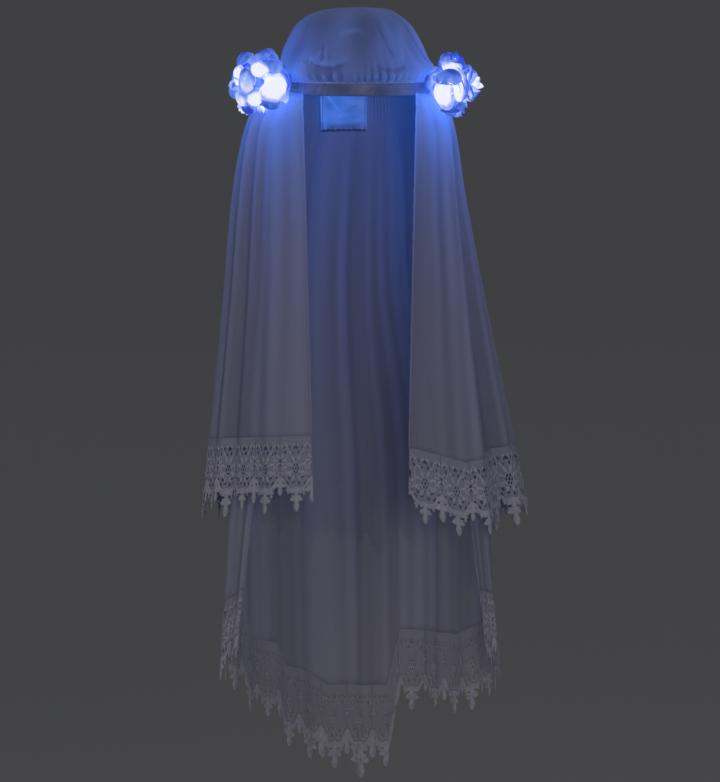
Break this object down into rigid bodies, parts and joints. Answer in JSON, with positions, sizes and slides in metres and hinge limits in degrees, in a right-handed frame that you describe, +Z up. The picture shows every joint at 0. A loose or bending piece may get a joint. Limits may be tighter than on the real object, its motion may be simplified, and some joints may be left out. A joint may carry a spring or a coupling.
{
  "type": "light-up bridal veil headpiece",
  "caption": "Puffed net cap on an oval satin headband, with two hanging lace-edged veil tiers and lit flower clusters at the temples.",
  "frame": {"origin": "middle of the oval headband, half way up its height, where a head holds it", "axes": "+Z up, the wearer looks along -Y, +X is the right side seen from the front"},
  "size_m": [0.3926, 0.2695, 0.9213],
  "materials": {
    "band_satin": "smooth satin ribbon",
    "cap_net": "layered fine net",
    "veil_net": "fine net",
    "lace": "embroidered lace",
    "pouch_satin": "creased satin",
    "petal": "sheer stiffened fabric, lit from inside",
    "stem": "cloth wrapped wire",
    "bulb": "clear moulded plastic, lit"
  },
  "bodies": {
    "root": {"headband": "band_satin", "crown_cap": "cap_net", "upper_tier": "veil_net", "upper_lace": "lace", "lower_tier": "veil_net", "lower_lace": "lace", "battery_pouch": "pouch_satin", "flower_post_left": "stem", "flower_post_right": "stem", "rose_left_front": "petal", "rose_left_upper": "petal", "rose_left_outer": "petal", "rose_left_lower": "petal", "rose_left_crown": "petal", "blossom_left_low": "petal", "rose_right_front": "petal", "rose_right_upper": "petal", "rose_right_outer": "petal", "rose_right_low": "petal", "blossom_right_top": "petal", "blossom_right_side": "petal"}
  },
  "joints": []
}
